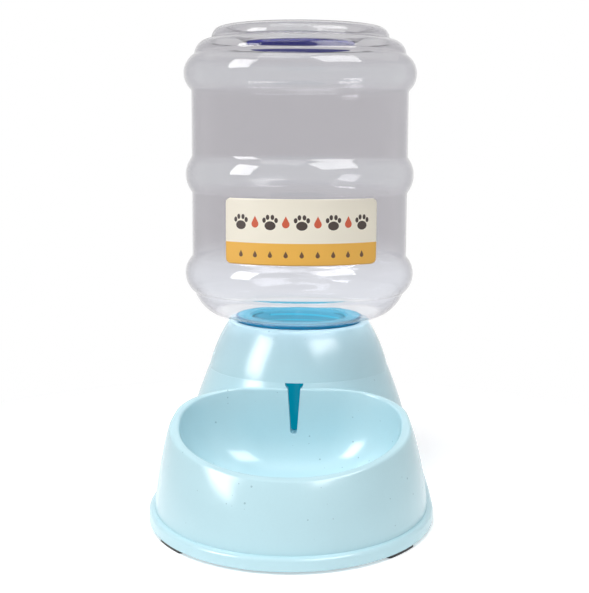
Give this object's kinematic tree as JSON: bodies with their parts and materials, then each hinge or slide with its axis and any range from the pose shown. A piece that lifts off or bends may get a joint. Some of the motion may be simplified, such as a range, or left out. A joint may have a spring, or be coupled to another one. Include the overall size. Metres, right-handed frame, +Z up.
{
  "type": "gravity pet water dispenser",
  "caption": "Clear upside-down bottle with a spring-valve screw cap, standing in a tower behind a tilted oval bowl that refills itself through an upright slot.",
  "frame": {"origin": "on the ground, under the middle of the box round the footprint", "axes": "+Z up along the bottle; the bowl faces -Y and the tower stands towards +Y; +X is the right-hand side seen from the bowl"},
  "size_m": [0.194, 0.308, 0.3375],
  "materials": {
    "pale_plastic": "satin pale blue polypropylene with a few fine fibre specks",
    "pad_rubber": "matt black",
    "cap_plastic": "gloss blue",
    "spring_steel": "bright drawn wire",
    "plunger_plastic": "satin white",
    "seal_rubber": "translucent white silicone",
    "clear_plastic": "clear with a faint lavender tint, thick base disc tinted deep blue",
    "label_film": "printed film, cream over an orange band"
  },
  "bodies": {
    "base": {"base_shell": "pale_plastic", "tower_collar": "pale_plastic", "collar_top": "pale_plastic", "pad_front_left": "pad_rubber", "pad_front_right": "pad_rubber", "pad_rear_left": "pad_rubber", "pad_rear_right": "pad_rubber"},
    "plunger": {"valve_plunger": "plunger_plastic", "valve_seal": "seal_rubber"},
    "cap": {"bottle_cap": "cap_plastic", "cap_funnel": "cap_plastic", "spring_cage": "cap_plastic", "valve_spring": "spring_steel"},
    "gasket": {"cap_gasket": "seal_rubber"},
    "bottle": {"bottle": "clear_plastic", "bottle_shoulder": "clear_plastic", "bottle_crown": "clear_plastic", "bottle_neck_tube": "clear_plastic", "label": "label_film"}
  },
  "joints": [
    {"name": "bottle_lift", "type": "slide", "parent": "base", "child": "plunger", "axis": [0, 0, 1], "range_m": [0, 0.14]},
    {"name": "valve_close", "type": "slide", "parent": "plunger", "child": "cap", "axis": [0, 0, 1], "range_m": [0, 0.0049], "stiffness_N_per_m": 60, "springref_m": 0.012, "deforming": ["valve_spring"]},
    {"name": "bottle_turn", "type": "hinge", "parent": "cap", "child": "gasket", "pos_m": [0, 0.057, 0.1], "axis": [0, 0, 1], "range_deg": [0, 450]},
    {"name": "bottle_rise", "type": "slide", "parent": "gasket", "child": "bottle", "axis": [0, 0, 1], "range_m": [0, 0.00751]}
  ],
  "couplings": [
    {"joint": "bottle_rise", "follows": "bottle_turn", "m_per_rad": 0.000955}
  ]
}
